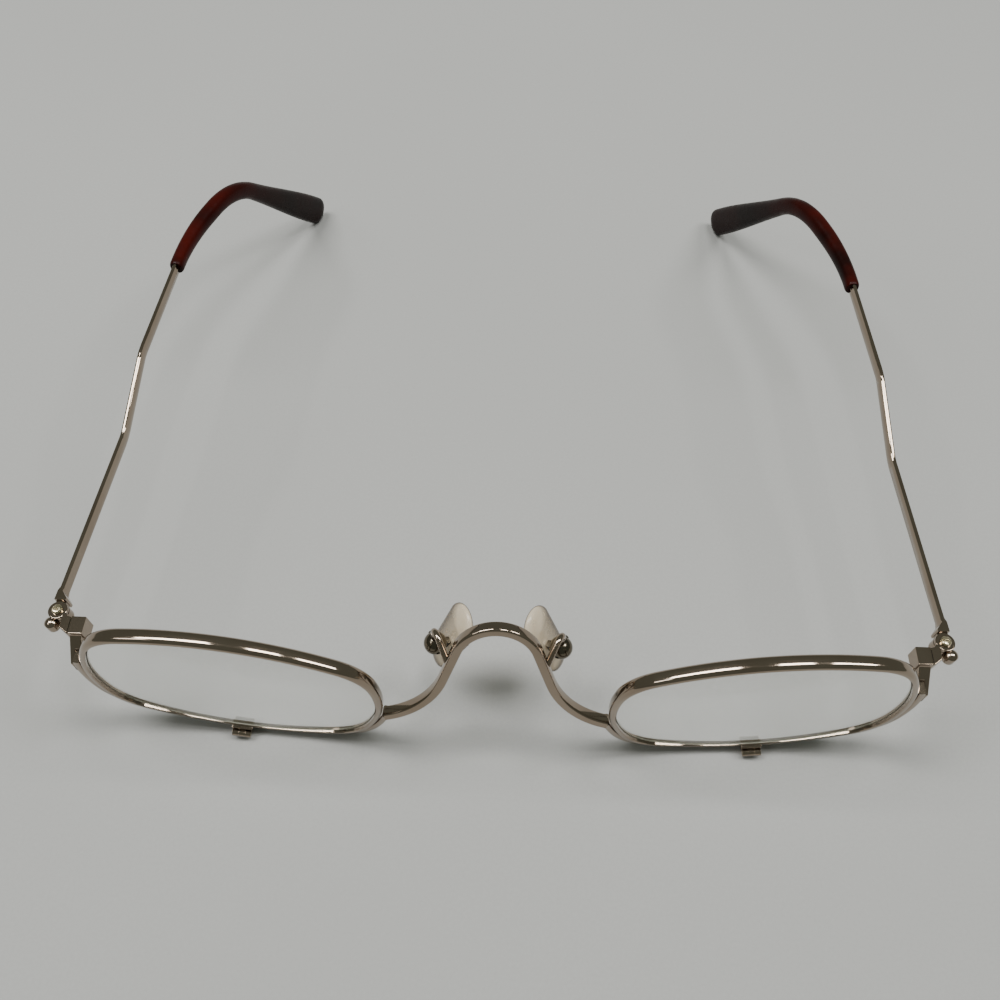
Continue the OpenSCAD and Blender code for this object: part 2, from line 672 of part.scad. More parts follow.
module temple() {
    color("#c9b68f") at_hinge() difference() {
        union() {
            // Block behind the ears, narrowed and chamfered down to the strip
            intersection() {
                translate([butt_in, 0, 0]) rotate([90, 0, 90]) linear_extrude(butt_w)
                    polygon([
                        [slot_r, -butt_h / 2], [butt_back, -butt_h / 2],
                        [butt_back + butt_slope, -strip_h * 0.4], [butt_back + butt_slope, strip_h * 0.4],
                        [butt_back, butt_h / 2], [slot_r, butt_h / 2]
                    ]);
                linear_extrude(2 * butt_h, center = true)
                    polygon([
                        [2 * strip_x, 0], [2 * strip_x, 2 * butt_back],
                        [strip_x - strip_t * 0.45, 2 * butt_back], [strip_x - strip_t * 0.45, butt_back],
                        [butt_in - 0.1, slot_r + 0.3], [butt_in - 0.1, 0]
                    ]);
            }
            // Tongue between the ears, from the block to the nose
            translate([0, 0, -tongue_t / 2]) linear_extrude(tongue_t) {
                circle(barrel_r);
                polygon([
                    [-barrel_r * 0.4, 0], [barrel_r * 0.8, 0], [strip_x + strip_t / 2 - 0.1, barrel_r],
                    [strip_x + strip_t / 2 - 0.1, slot_r + 0.5],
                    [butt_in + 0.1, slot_r + 0.5]
                ]);
                translate([nose_x, -nose_y]) circle(nose_r - 0.05);
            }
            // Nose that stands round the front of the ears
            difference() {
                translate([nose_x, -nose_y, 0]) intersection() {
                    cylinder(h = butt_h, r = nose_r, center = true);
                    sphere(nose_r * 1.25);
                }
                cylinder(h = 2 * butt_h, r = barrel_r + 2 * side_play, center = true);
            }
            // Strip with its two bends, and the round core wire inside the tip
            translate([strip_x, slot_r + 0.4, 0]) rotate([0, 0, 90])
                wire([
                    [front_run - slot_r - 0.4, lift_r, lift_angle, 90],
                    [lift_run, lift_r, lift_angle, 270],
                    [rear_run, 0, 0, 0]
                ]) {
                    flat_section(strip_t, strip_h, wire_edge);
                    flat_section(strip_t - bend_slim, strip_h - bend_slim, wire_edge);
                }
            translate([strip_x, tip_y - overrun, temple_lift]) rotate([0, 0, 90])
                wire([
                    [overrun + tip_lead, tip_in_r, tip_in, 0],
                    [tip_run, ear_r, ear_angle, 270],
                    [core_tail, 0, 0, 0]
                ]) {
                    circle(core_r, $fn = 32);
                    circle(core_r - bend_slim, $fn = 32);
                }
        }
        cylinder(h = 3 * butt_h, r = screw_r + pin_play, center = true);
    }
}

// Tip: a section that grows from round to a flat paddle, swept along the core's path.
// The angles and sizes below are functions of the distance from the tip's start.
tip_sides = 24;
bore_sides = 12;
tip_steps = 40;
function ramp(x) = let (c = min(max(x, 0), 1)) c * c * (3 - 2 * c);
function tip_yaw(s) = min(max((s - tip_lead) / tip_in_r * 180 / PI, 0), tip_in);
function tip_pitch(s) = min(max((s - ear_at) / ear_r * 180 / PI, 0), ear_angle);
function tip_dir(s) = [
    -sin(tip_yaw(s)) * cos(tip_pitch(s)), cos(tip_yaw(s)) * cos(tip_pitch(s)), -sin(tip_pitch(s))
];
function tip_across(s) = [cos(tip_yaw(s)), sin(tip_yaw(s)), 0];
// The end is a half circle as long as the paddle is half high
function tip_close(s) = sqrt(max(1 - pow(max((s - tip_l) / paddle_h, 0), 2), 0.0001));
function tip_open(s) = 1 - 0.12 * pow(max(1 - s / 0.6, 0), 2);
function tip_half_h(s) = tip_close(s) * tip_open(s) * (tip_start_h
    + (tip_mid_h - tip_start_h) * ramp(s / ear_at)
    + (paddle_h - tip_mid_h) * ramp((s - ear_at - ear_len * 0.7) / (tip_l - 2 - ear_at - ear_len * 0.7)));
function tip_half_t(s) = tip_close(s) * tip_open(s) * (tip_start_t
    + (tip_mid_t - tip_start_t) * ramp(s / ear_at)
    + (paddle_t - tip_mid_t) * ramp((s - ear_at - ear_len) / (tip_l - ear_at - ear_len)));
// Distances of the rings: even along the tip, then closing up round its end
tip_even = [for (i = [0 : tip_steps]) tip_l * i / tip_steps];
tip_ring_s = concat([0], [0.3], [for (i = [1 : tip_steps]) tip_even[i]],
    [for (a = [15 : 15 : 90]) tip_l + paddle_h * sin(a) * 0.9999]);
// The path's points, stepped from ring to ring along the direction halfway between them
function tip_path(list) = [
    for (i = 0, p = [strip_x, tip_y, temple_lift]; i < len(list);
        p = p + (i + 1 < len(list) ? (list[i + 1] - list[i]) * tip_dir((list[i] + list[i + 1]) / 2)
            : [0, 0, 0]), i = i + 1) p
];
function ring_point(p, s, a, half_t, half_h, power) =
    let (c = cos(a), d = sin(a), up = cross(tip_across(s), tip_dir(s)))
        p + tip_across(s) * half_t * sign(c) * pow(abs(c), 2 / power)
            + up * half_h * sign(d) * pow(abs(d), 2 / power);
core_end = ear_at + ear_len + core_tail;
module temple_tip() {
    path = tip_path(tip_ring_s);
    rings = len(path);
    bore_r = (core_r + core_play) / cos(180 / bore_sides);
    bore_n = len([for (s = tip_ring_s) if (s <= core_end) s]);
    outside = [for (k = [0 : rings - 1], j = [0 : tip_sides - 1]) ring_point(path[k], tip_ring_s[k],
        360 * j / tip_sides, tip_half_t(tip_ring_s[k]), tip_half_h(tip_ring_s[k]), 2.3)];
    // The bore is as deep as the core wire and a little more
    bore_s = concat([for (k = [0 : bore_n - 1]) tip_ring_s[k]], [core_end + 2 * core_play]);
    bore_path = tip_path(bore_s);
    inside = [for (k = [0 : bore_n], j = [0 : bore_sides - 1])
        ring_point(bore_path[k], bore_s[k], 360 * j / bore_sides, bore_r, bore_r, 2)];
    first = rings * tip_sides;
    skin = [for (k = [0 : rings - 2], j = [0 : tip_sides - 1])
        let (n = (j + 1) % tip_sides, a = k * tip_sides, b = a + tip_sides)
            each [[a + j, b + j, b + n], [a + j, b + n, a + n]]];
    end_cap = [for (j = [1 : tip_sides - 2]) let (a = (rings - 1) * tip_sides) [a, a + j + 1, a + j]];
    bore = [for (k = [0 : bore_n - 1], j = [0 : bore_sides - 1])
        let (n = (j + 1) % bore_sides, a = first + k * bore_sides, b = a + bore_sides)
            each [[a + j, b + n, b + j], [a + j, a + n, b + n]]];
    bore_cap = [for (j = [1 : bore_sides - 2]) let (a = first + bore_n * bore_sides) [a, a + j, a + j + 1]];
    // The mouth's flat ring joins every bore side to two sides of the skin
    mouth = [for (j = [0 : bore_sides - 1])
        let (i = 2 * j, m = i + 1, l = (i + 2) % tip_sides, a = first + j, b = first + (j + 1) % bore_sides)
            each [[i, m, a], [a, m, b], [m, l, b]]];
    color("#4a1a14") at_hinge()
        polyhedron(concat(outside, inside), concat(skin, end_cap, bore, bore_cap, mouth), convexity = 6);
}

place(1) bridge();
place(-1) lower_rim();  // left_lower_rim
place(1) lower_rim();  // right_lower_rim
place(-1) end_piece();  // left_end_piece
place(1) end_piece();  // right_end_piece
place(-1) temple_screw();  // left_temple_screw
place(1) temple_screw();  // right_temple_screw
place(-1) flip_base();  // left_flip_base
place(1) flip_base();  // right_flip_base
place(-1) flip_pin();  // left_flip_pin
place(1) flip_pin();  // right_flip_pin
place(-1) pad_arm();  // left_pad_arm
place(1) pad_arm();  // right_pad_arm
place(-1) pad_box();  // left_pad_box
place(1) pad_box();  // right_pad_box
place(-1) pad_screw();  // left_pad_screw
place(1) pad_screw();  // right_pad_screw
place(-1) lens_rim();  // left_lens_rim
place(1) lens_rim();  // right_lens_rim
place(-1) lens();  // left_lens
place(1) lens();  // right_lens
place(-1) flip_leaf();  // left_flip_leaf
place(1) flip_leaf();  // right_flip_leaf
place(-1) temple();  // left_temple
place(1) temple();  // right_temple
place(-1) temple_tip();  // left_temple_tip
place(1) temple_tip();  // right_temple_tip
place(-1) nose_pad();  // left_nose_pad
place(1) nose_pad();  // right_nose_pad
place(-1) pad_stud();  // left_pad_stud
place(1) pad_stud();  // right_pad_stud
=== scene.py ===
# %% [markdown]
# # Makeup glasses
# These glasses help someone make up one eye at a time. A thin gold-plated frame carries two
# clear magnifying lenses. Each lens sits in its own grooved rim, and each rim has a tiny hinge at
# its bottom, so that one lens folds down while the wearer looks through the other.
# The exact model comes from CAD and is loaded first. Here each piece gets the soft edges, the
# curves and the finish that make it look real, and then the scene is lit and framed.

# %% Load the CAD model as the frame
import json
from math import atan2, cos, degrees, pi, radians, sin, sqrt

import bmesh
import bpy
from mathutils import Matrix, Vector


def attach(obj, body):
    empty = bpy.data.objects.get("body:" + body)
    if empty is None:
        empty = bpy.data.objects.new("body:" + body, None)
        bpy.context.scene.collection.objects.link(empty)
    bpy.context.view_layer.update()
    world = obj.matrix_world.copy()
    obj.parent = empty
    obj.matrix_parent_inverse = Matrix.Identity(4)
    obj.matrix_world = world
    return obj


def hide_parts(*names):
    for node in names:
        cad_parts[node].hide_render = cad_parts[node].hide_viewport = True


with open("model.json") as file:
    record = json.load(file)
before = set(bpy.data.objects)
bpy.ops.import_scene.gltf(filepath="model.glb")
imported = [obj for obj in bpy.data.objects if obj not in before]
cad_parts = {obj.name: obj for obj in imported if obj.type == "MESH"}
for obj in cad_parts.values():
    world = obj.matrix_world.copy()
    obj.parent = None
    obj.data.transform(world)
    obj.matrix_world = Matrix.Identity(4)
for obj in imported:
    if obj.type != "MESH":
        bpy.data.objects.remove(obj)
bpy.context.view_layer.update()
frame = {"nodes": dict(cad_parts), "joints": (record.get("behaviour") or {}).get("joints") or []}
nodes = frame["nodes"]
joints = {joint["name"]: joint for joint in frame["joints"]}

# %% [markdown]
# ## Working in millimetres
# Spectacle parts are dimensioned in millimetres, so sizes below are too, and angles are in
# degrees. Meshes are built in millimetres and shrunk to metres when they are finished. The rims'
# middle plane is the natural zero from front to back. The CAD model says where the temple hinge
# is, and the plane lies a known distance in front of it.

# %% Places that everything is measured from
# Millimetres in a metre
METRE = 1000
HINGE = Vector(joints["right_temple_fold"]["pos_m"]) * METRE
# From the rims' middle plane back to the temple hinge
HINGE_BACK = 8.4
MIDDLE = HINGE.y - HINGE_BACK
print("temple hinge at", [round(v, 2) for v in HINGE], "rims' plane at y", round(MIDDLE, 2))

# %% [markdown]
# ## Finishing a mesh
# All the pieces end the same way. The mesh is mirrored if it is a left-hand piece, scaled to
# metres and cleaned, and its faces are turned outwards. Smooth shading hides the facets of a
# curve, but a real edge must stay crisp, so edges sharper than a given angle are marked as sharp.

# %% Turn a bmesh into a finished piece
# Vertices closer than this, in metres, become one
WELD = 1e-7


def finish_piece(bm, name, body, slot, stands_for, mirrored=False, crisp=38):
    if mirrored:
        bmesh.ops.scale(bm, vec=(-1, 1, 1), verts=bm.verts)
    bmesh.ops.scale(bm, vec=(1 / METRE,) * 3, verts=bm.verts)
    bmesh.ops.remove_doubles(bm, verts=bm.verts, dist=WELD)
    bmesh.ops.recalc_face_normals(bm, faces=bm.faces)
    volume = bm.calc_volume(signed=True) * METRE**3
    print(name, "encloses", round(volume, 1), "mm3 with", len(bm.faces), "faces")
    mesh = bpy.data.meshes.new(name)
    bm.to_mesh(mesh)
    bm.free()
    mesh.polygons.foreach_set("use_smooth", [True] * len(mesh.polygons))
    mesh.set_sharp_from_angle(angle=radians(crisp))
    piece = bpy.data.objects.new(name, mesh)
    bpy.context.scene.collection.objects.link(piece)
    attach(piece, body)
    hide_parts(*stands_for)
    piece.data.materials.append(FINISHES[slot])
    return piece


# %% [markdown]
# ## Materials
# Every finish starts from what the real thing is made of. Colours are written as the hex values
# that a colour picker shows, and one function turns them into the linear light that the
# renderer works in. One more small function adds a shader node and wires it up. A Mix node has a
# set of sockets for each kind of value, all with the same names, so these are called by number.

# %% Colour and node helpers
# Inputs of a Mix node
FACTOR, NUMBER_A, NUMBER_B, COLOUR_A, COLOUR_B = 0, 2, 3, 6, 7
# Outputs of a Mix node
MIXED_NUMBER, MIXED_COLOUR = 0, 2


def linear(hex_colour):
    channels = [int(hex_colour[i : i + 2], 16) / 255 for i in (1, 3, 5)]
    return [c / 12.92 if c <= 0.04045 else ((c + 0.055) / 1.055) ** 2.4 for c in channels] + [1]


def new_material(name):
    material = bpy.data.materials.new(name)
    material.use_nodes = True
    tree = material.node_tree
    shader = tree.nodes["Principled BSDF"]
    print("finish:", name)
    return material, tree, shader


def add_node(tree, kind, values=None, links=None, **settings):
    node = tree.nodes.new(kind)
    for key, value in settings.items():
        setattr(node, key, value)
    for socket, value in (values or {}).items():
        node.inputs[socket].default_value = value
    for socket, source in (links or {}).items():
        tree.links.new(source, node.inputs[socket])
    return node


# %% [markdown]
# ### Pale gold plating
# The frame is nickel silver wire with a thin pale gold plating, polished to a mirror. What makes
# plated wire look real is that it isn't perfect: fine rubbing marks blur the reflections a
# little, and the gold is a touch warmer or greyer from place to place where it has worn.

# %% Gold plating
def gold_plating(name, bright, warm, rough):
    material, tree, shader = new_material(name)
    place = add_node(tree, "ShaderNodeTexCoord")
    # Worn patches in mm, and rubbing marks, which are drawn coarser than real ones so that they show
    worn_patch, rubbing_mark = 6.25, 0.25
    wear = add_node(
        tree,
        "ShaderNodeTexNoise",
        {"Scale": METRE / worn_patch, "Detail": 3},
        {"Vector": place.outputs["Object"]},
    )
    rubbing = add_node(
        tree,
        "ShaderNodeTexNoise",
        {"Scale": METRE / rubbing_mark, "Detail": 2},
        {"Vector": place.outputs["Object"]},
    )
    tint = add_node(
        tree,
        "ShaderNodeMix",
        {COLOUR_A: linear(bright), COLOUR_B: linear(warm)},
        {FACTOR: wear.outputs["Fac"]},
        data_type="RGBA",
    )
    tree.links.new(tint.outputs[MIXED_COLOUR], shader.inputs["Base Color"])
    blur = add_node(
        tree,
        "ShaderNodeMapRange",
        {"From Min": 0.3, "From Max": 0.7, "To Min": rough * 0.85, "To Max": rough * 1.15},
        {"Value": rubbing.outputs["Fac"]},
    )
    tree.links.new(blur.outputs["Result"], shader.inputs["Roughness"])
    shader.inputs["Metallic"].default_value = 1
    return material


gold_plate = gold_plating("polished pale gold plating", "#a6998a", "#8f7e6d", 0.085)
screw_metal = gold_plating("turned and plated nickel silver", "#d8cfb2", "#c4b594", 0.15)

# %% [markdown]
# Close to the nose, skin oil has dulled the turned metal of the pad boxes and their screws to a
# brown grey. The distance to the middle of the nose is read from the piece's own coordinates, and
# the tarnish is mixed over the plating's colour.

# %% Tarnish near the nose
# Up to this far from the middle the tarnish is full, and from there it fades out
TARNISH_FULL, TARNISH_GONE = 16, 20
tarnish_tree = screw_metal.node_tree
screw_shader = tarnish_tree.nodes["Principled BSDF"]
plated_colour = screw_shader.inputs["Base Color"].links[0].from_socket
screw_place = add_node(tarnish_tree, "ShaderNodeTexCoord")
screw_axes = add_node(
    tarnish_tree,
    "ShaderNodeSeparateXYZ",
    None,
    {"Vector": screw_place.outputs["Object"]},
)
from_nose = add_node(
    tarnish_tree,
    "ShaderNodeMath",
    None,
    {0: screw_axes.outputs["X"]},
    operation="ABSOLUTE",
)
tarnish = add_node(
    tarnish_tree,
    "ShaderNodeMapRange",
    {
        "From Min": TARNISH_FULL / METRE,
        "From Max": TARNISH_GONE / METRE,
        "To Min": 0.9,
        "To Max": 0.0,
    },
    {"Value": from_nose.outputs["Value"]},
)
tarnished = add_node(
    tarnish_tree,
    "ShaderNodeMix",
    {COLOUR_B: linear("#544d44")},
    {FACTOR: tarnish.outputs["Result"], COLOUR_A: plated_colour},
    data_type="RGBA",
)
tarnish_tree.links.new(tarnished.outputs[MIXED_COLOUR], screw_shader.inputs["Base Color"])

# %% [markdown]
# ### Lens resin
# The lenses are cast from optical resin and polished on both faces, so they are nearly invisible
# but for soft patches where a fingertip has been. Their edge is only ground, which leaves it
# frosted and nearly opaque. Its grey is partly a painted reflection: it stands in for the rim's
# back wall seen through the lens, the grey band that shows along the bottom of each lens.
# A value stored on the mesh's faces, called ground, tells the two kinds of face apart.

# %% Lens resin
clear_lens, lens_tree, lens_shader = new_material("cast optical resin")
lens_place = add_node(lens_tree, "ShaderNodeTexCoord")
ground_edge = add_node(lens_tree, "ShaderNodeAttribute", attribute_name="ground")
# Smears about 5 mm across: most of the face is clean, and the rest is a little blurred
SMEAR = 5.0
smear = add_node(
    lens_tree,
    "ShaderNodeTexNoise",
    {"Scale": METRE / SMEAR, "Detail": 2},
    {"Vector": lens_place.outputs["Object"]},
)
smear_blur = add_node(
    lens_tree,
    "ShaderNodeMapRange",
    {"From Min": 0.55, "From Max": 0.8, "To Min": 0.0, "To Max": 0.05},
    {"Value": smear.outputs["Fac"]},
)
lens_blur = add_node(
    lens_tree,
    "ShaderNodeMix",
    {NUMBER_B: 0.5},
    {FACTOR: ground_edge.outputs["Fac"], NUMBER_A: smear_blur.outputs["Result"]},
)
lens_tree.links.new(lens_blur.outputs[MIXED_NUMBER], lens_shader.inputs["Roughness"])
# The ground edge is really frosted, and its grey is partly a painted reflection of the rim's back wall
lens_colour_with_painted_edge = add_node(
    lens_tree,
    "ShaderNodeMix",
    {COLOUR_A: linear("#fcfdfb"), COLOUR_B: linear("#8d8c7f")},
    {FACTOR: ground_edge.outputs["Fac"]},
    data_type="RGBA",
)
lens_tree.links.new(lens_colour_with_painted_edge.outputs[MIXED_COLOUR], lens_shader.inputs["Base Color"])
# One minus the ground value: the polished faces let all light through, and the edge none
lens_clear = add_node(
    lens_tree,
    "ShaderNodeMath",
    {0: 1.0},
    {1: ground_edge.outputs["Fac"]},
    operation="SUBTRACT",
)
lens_tree.links.new(lens_clear.outputs["Value"], lens_shader.inputs["Transmission Weight"])
lens_shader.inputs["IOR"].default_value = 1.5

# %% [markdown]
# ### Pad vinyl
# The nose pads are moulded from soft clear vinyl that has yellowed with age. The yellow is in the
# plastic, not on it: light that crosses a thin pad stays pale, and light that runs along it turns
# brown. Absorption inside the volume does exactly that. Towards the outline a darker brown is
# also painted into the colour, which is painted shade. Skin oil dulls the surface in patches.

# %% Pad vinyl
pad_plastic, pad_tree, pad_shader = new_material("yellowed clear vinyl")
pad_place = add_node(pad_tree, "ShaderNodeTexCoord")
# Patches of oil about 1.4 mm across
OIL_PATCH = 1.43
oil = add_node(
    pad_tree,
    "ShaderNodeTexNoise",
    {"Scale": METRE / OIL_PATCH, "Detail": 2},
    {"Vector": pad_place.outputs["Object"]},
)
oil_blur = add_node(
    pad_tree,
    "ShaderNodeMapRange",
    {"From Min": 0.35, "From Max": 0.7, "To Min": 0.12, "To Max": 0.3},
    {"Value": oil.outputs["Fac"]},
)
pad_tree.links.new(oil_blur.outputs["Result"], pad_shader.inputs["Roughness"])
oil_tint = add_node(
    pad_tree,
    "ShaderNodeMix",
    {COLOUR_A: linear("#f0e3cc"), COLOUR_B: linear("#e3d3b6")},
    {FACTOR: oil.outputs["Fac"]},
    data_type="RGBA",
)
# Painted shade: where the pad is seen edge-on, towards its outline, its colour is darkened to brown
pad_view_angle = add_node(pad_tree, "ShaderNodeLayerWeight", {"Blend": 0.5})
painted_outline_shade = add_node(
    pad_tree,
    "ShaderNodeMapRange",
    {"From Min": 0.43, "From Max": 0.66, "To Min": 0.0, "To Max": 0.92},
    {"Value": pad_view_angle.outputs["Facing"]},
)
pad_colour_with_painted_outline = add_node(
    pad_tree,
    "ShaderNodeMix",
    {COLOUR_B: linear("#52463a")},
    {FACTOR: painted_outline_shade.outputs["Result"], COLOUR_A: oil_tint.outputs[MIXED_COLOUR]},
    data_type="RGBA",
)
pad_tree.links.new(pad_colour_with_painted_outline.outputs[MIXED_COLOUR], pad_shader.inputs["Base Color"])
pad_shader.inputs["IOR"].default_value = 1.45
# More than half of the light is scattered inside, which is what makes old vinyl look milky
pad_shader.inputs["Transmission Weight"].default_value = 0.4
# Per metre of vinyl: blue light is lost fastest, then green
pad_depth = add_node(pad_tree, "ShaderNodeVolumeAbsorption")
pad_depth.inputs["Color"].default_value = linear("#d9c497")
pad_depth.inputs["Density"].default_value = 110
pad_tree.links.new(pad_depth.outputs["Volume"], pad_tree.nodes["Material Output"].inputs["Volume"])

# %% [markdown]
# ### Tortoise tips
# The temple tips are cellulose acetate in a dark tortoise. Red-brown and nearly black clouds lie
# inside a clear plastic, so the colour shifts along the tip. Hair and skin have rubbed the
# polish dull, so it keeps only a soft, uneven sheen.

# %% Tortoise acetate
tip_plastic, tip_tree, tip_shader = new_material("polished tortoise acetate")
tip_place = add_node(tip_tree, "ShaderNodeTexCoord")
# Clouds of colour about 9 mm long, and rubbed spots about 1 mm across
CLOUD, RUBBED_SPOT = 9.1, 1.11
cloud = add_node(
    tip_tree,
    "ShaderNodeTexNoise",
    {"Scale": METRE / CLOUD, "Detail": 2, "Roughness": 0.4},
    {"Vector": tip_place.outputs["Object"]},
)
cloud_colour = add_node(tip_tree, "ShaderNodeValToRGB", None, {"Fac": cloud.outputs["Fac"]})
cloud_colour.color_ramp.elements[0].position = 0.40
cloud_colour.color_ramp.elements[0].color = linear("#190806")
cloud_colour.color_ramp.elements[1].position = 0.62
cloud_colour.color_ramp.elements[1].color = linear("#3a0d08")
# Round the ear bend, which is this far behind the middle of the part, they turn nearly black
DARK_FROM, DARK_FULL = 30, 48
tip_axes = add_node(
    tip_tree,
    "ShaderNodeSeparateXYZ",
    None,
    {"Vector": tip_place.outputs["Object"]},
)
behind = add_node(
    tip_tree,
    "ShaderNodeMapRange",
    {"From Min": DARK_FROM / METRE, "From Max": DARK_FULL / METRE, "To Max": 0.85},
    {"Value": tip_axes.outputs["Y"]},
)
tip_colour = add_node(
    tip_tree,
    "ShaderNodeMix",
    {COLOUR_B: linear("#110a08")},
    {FACTOR: behind.outputs["Result"], COLOUR_A: cloud_colour.outputs["Color"]},
    data_type="RGBA",
)
tip_tree.links.new(tip_colour.outputs[MIXED_COLOUR], tip_shader.inputs["Base Color"])
tip_rub = add_node(
    tip_tree,
    "ShaderNodeTexNoise",
    {"Scale": METRE / RUBBED_SPOT, "Detail": 2},
    {"Vector": tip_place.outputs["Object"]},
)
tip_blur = add_node(
    tip_tree,
    "ShaderNodeMapRange",
    {"From Min": 0.3, "From Max": 0.7, "To Min": 0.24, "To Max": 0.38},
    {"Value": tip_rub.outputs["Fac"]},
)
tip_tree.links.new(tip_blur.outputs["Result"], tip_shader.inputs["Roughness"])
tip_shader.inputs["IOR"].default_value = 1.49
tip_shader.inputs["Specular IOR Level"].default_value = 0.07

FINISHES = {
    "gold_plate": gold_plate,
    "screw_metal": screw_metal,
    "clear_lens": clear_lens,
    "pad_plastic": pad_plastic,
    "tip_plastic": tip_plastic,
}
print("finishes:", ", ".join(m.name for m in FINISHES.values()))

# %% [markdown]
# ## Wire
# Nearly every piece of a spectacle frame is drawn wire that has been bent. A sweep does the same
# in a mesh: one ring of vertices with the wire's section is pushed along the wire, a step at a
# time, and each push leaves a band of faces behind. The path is a list of matrices, and each
# push moves the ring by the difference between one matrix and the next.

# %% A flat wire's section
def rounded_section(width, height, edge, per_corner=4):
    """The points of a rectangle whose corners are rounded by the radius edge."""
    ring = []
    for quarter in range(4):
        x = (width / 2 - edge) * (1 if quarter in (0, 3) else -1)
        y = (height / 2 - edge) * (1 if quarter in (0, 1) else -1)
        for k in range(per_corner + 1):
            turn = radians(90 * quarter + 90 * k / per_corner)
            ring.append((x + edge * cos(turn), y + edge * sin(turn)))
    return ring


# %% A path for bent wire
def bent_path(start, steps, fine=4):
    """Matrices along a wire that runs along +X. A step is (run, bend radius, angle, roll)."""
    path = [start]
    at = start
    for run, radius, turn, roll in steps:
        if run:
            at = at @ Matrix.Translation((run, 0, 0))
            path.append(at)
        if turn:
            count = max(2, round(turn / fine))
            rolled = at @ Matrix.Rotation(radians(roll), 4, "X") @ Matrix.Translation((0, radius, 0))
            back = Matrix.Translation((0, -radius, 0)) @ Matrix.Rotation(radians(-roll), 4, "X")
            for k in range(1, count + 1):
                path.append(rolled @ Matrix.Rotation(radians(turn * k / count), 4, "Z") @ back)
            at = path[-1]
    return path


# %% Push a section along a path
def verts_in(geom):
    return [g for g in geom if isinstance(g, bmesh.types.BMVert)]


def edges_in(geom):
    return [g for g in geom if isinstance(g, bmesh.types.BMEdge)]


def loop_through(bm, ring):
    return [bm.edges.new((ring[k], ring[(k + 1) % len(ring)])) for k in range(len(ring))]


def swept_wire(section, path, closed=False):
    bm = bmesh.new()
    ring = [bm.verts.new((0, x, y)) for x, y in section]
    loop = loop_through(bm, ring)
    bmesh.ops.transform(bm, matrix=path[0], verts=ring)
    if not closed:
        bmesh.ops.edgeloop_fill(bm, edges=loop)
    for here, there in zip(path, path[1:]):
        pushed = bmesh.ops.extrude_edge_only(bm, edges=loop)["geom"]
        ring = verts_in(pushed)
        loop = edges_in(pushed)
        bmesh.ops.transform(bm, matrix=there @ here.inverted(), verts=ring)
    if closed:
        bmesh.ops.remove_doubles(bm, verts=bm.verts, dist=WELD * METRE)
    else:
        bmesh.ops.edgeloop_fill(bm, edges=loop)
    return bm


# %% [markdown]
# ## The rims' outline
# A lens maker describes a lens by its boxed width and height and by the arcs of its edge. This
# one is eight arcs: two ends, a long flat top and bottom, and four corners that run smoothly into
# them. An arc touches the next where both share a line through their centres, so a corner's
# centre is where a circle round the end's centre crosses one round the top's centre. The lens
# rim, the lower rim and the lens all follow the outline.

# %% Centres and angles of the arcs
RIM_W, RIM_H = 46.2, 35.0
TOP_R, END_R, CORNER_R = 45.0, 26.0, 10.0
end_centre = RIM_W / 2 - END_R
top_centre = RIM_H / 2 - TOP_R
reach_end, reach_top = END_R - CORNER_R, TOP_R - CORNER_R
gap = sqrt(end_centre**2 + top_centre**2)
along = (reach_end**2 - reach_top**2 + gap**2) / (2 * gap)
aside = sqrt(reach_end**2 - along**2)
towards = (-end_centre / gap, top_centre / gap)
corner = (end_centre + along * towards[0] - aside * towards[1], along * towards[1] + aside * towards[0])
end_angle = degrees(atan2(corner[1], corner[0] - end_centre))
top_angle = degrees(atan2(corner[1] - top_centre, corner[0]))
print("a corner's centre:", [round(v, 2) for v in corner])
print("its arc goes from", round(end_angle, 1), "to", round(top_angle, 1), "degrees")

# %% Eight arcs, and where the rims stand
# Each is centre, radius and two angles. The first comes again last, for paths past a full turn
ARCS = [
    ((end_centre, 0), END_R, -end_angle, end_angle),
    (corner, CORNER_R, end_angle, top_angle),
    ((0, top_centre), TOP_R, top_angle, 180 - top_angle),
    ((-corner[0], corner[1]), CORNER_R, 180 - top_angle, 180 - end_angle),
    ((-end_centre, 0), END_R, 180 - end_angle, 180 + end_angle),
    ((-corner[0], -corner[1]), CORNER_R, 180 + end_angle, 180 + top_angle),
    ((0, -top_centre), TOP_R, 180 + top_angle, 360 - top_angle),
    ((corner[0], -corner[1]), CORNER_R, 360 - top_angle, 360 - end_angle),
    ((end_centre, 0), END_R, 360 - end_angle, 360 + end_angle),
]
# From the middle of the nose to the side, and from the temple hinge down
RIM_ASIDE, RIM_BELOW = 40.6, 6.0
# The outer ends sweep back round the face, and they stand a little higher than the inner ones
SWEEP_BACK, ROLL_UP = 3.2, 8.4
RIM_PLACE = (
    Matrix.Translation((RIM_ASIDE, MIDDLE, HINGE.z - RIM_BELOW))
    @ Matrix.Rotation(radians(SWEEP_BACK), 4, "Z")
    @ Matrix.Rotation(radians(-ROLL_UP), 4, "Y")
)
print("right rim's middle at", [round(v, 2) for v in RIM_PLACE.translation])


# %% A path along the outline
def rim_path(start, stop, fine=2.0):
    """Matrices whose X runs along the outline, Y points outwards and Z to the front."""
    path = []
    for (cx, cz), radius, first, last in ARCS:
        low, high = max(first, start), min(last, stop)
        # A stretch shorter than a hundredth of a degree would only make a crease
        if high - low < 0.01:
            continue
        count = max(2, round((high - low) / fine))
        for k in range(count + 1):
            turn = radians(low + (high - low) * k / count)
            here = Matrix(
                (
                    (-sin(turn), cos(turn), 0, cx + radius * cos(turn)),
                    (0, 0, -1, 0),
                    (cos(turn), sin(turn), 0, cz + radius * sin(turn)),
                    (0, 0, 0, 1),
                )
            )
            if k or not path:
                path.append(RIM_PLACE @ here)
    return path


# %% [markdown]
# ## Lens rims
# The rim wire is drawn with a crowned outer face and a groove inside, which holds the lens's
# bevel. Polishing leaves the crown flatter in the middle and rounder towards its edges, and that is
# why a lamp shows in it as a broad bright patch. So the section is a ring of points: the crown,
# the two flat sides, and the groove. The ring is swept all the way round and its ends are merged.

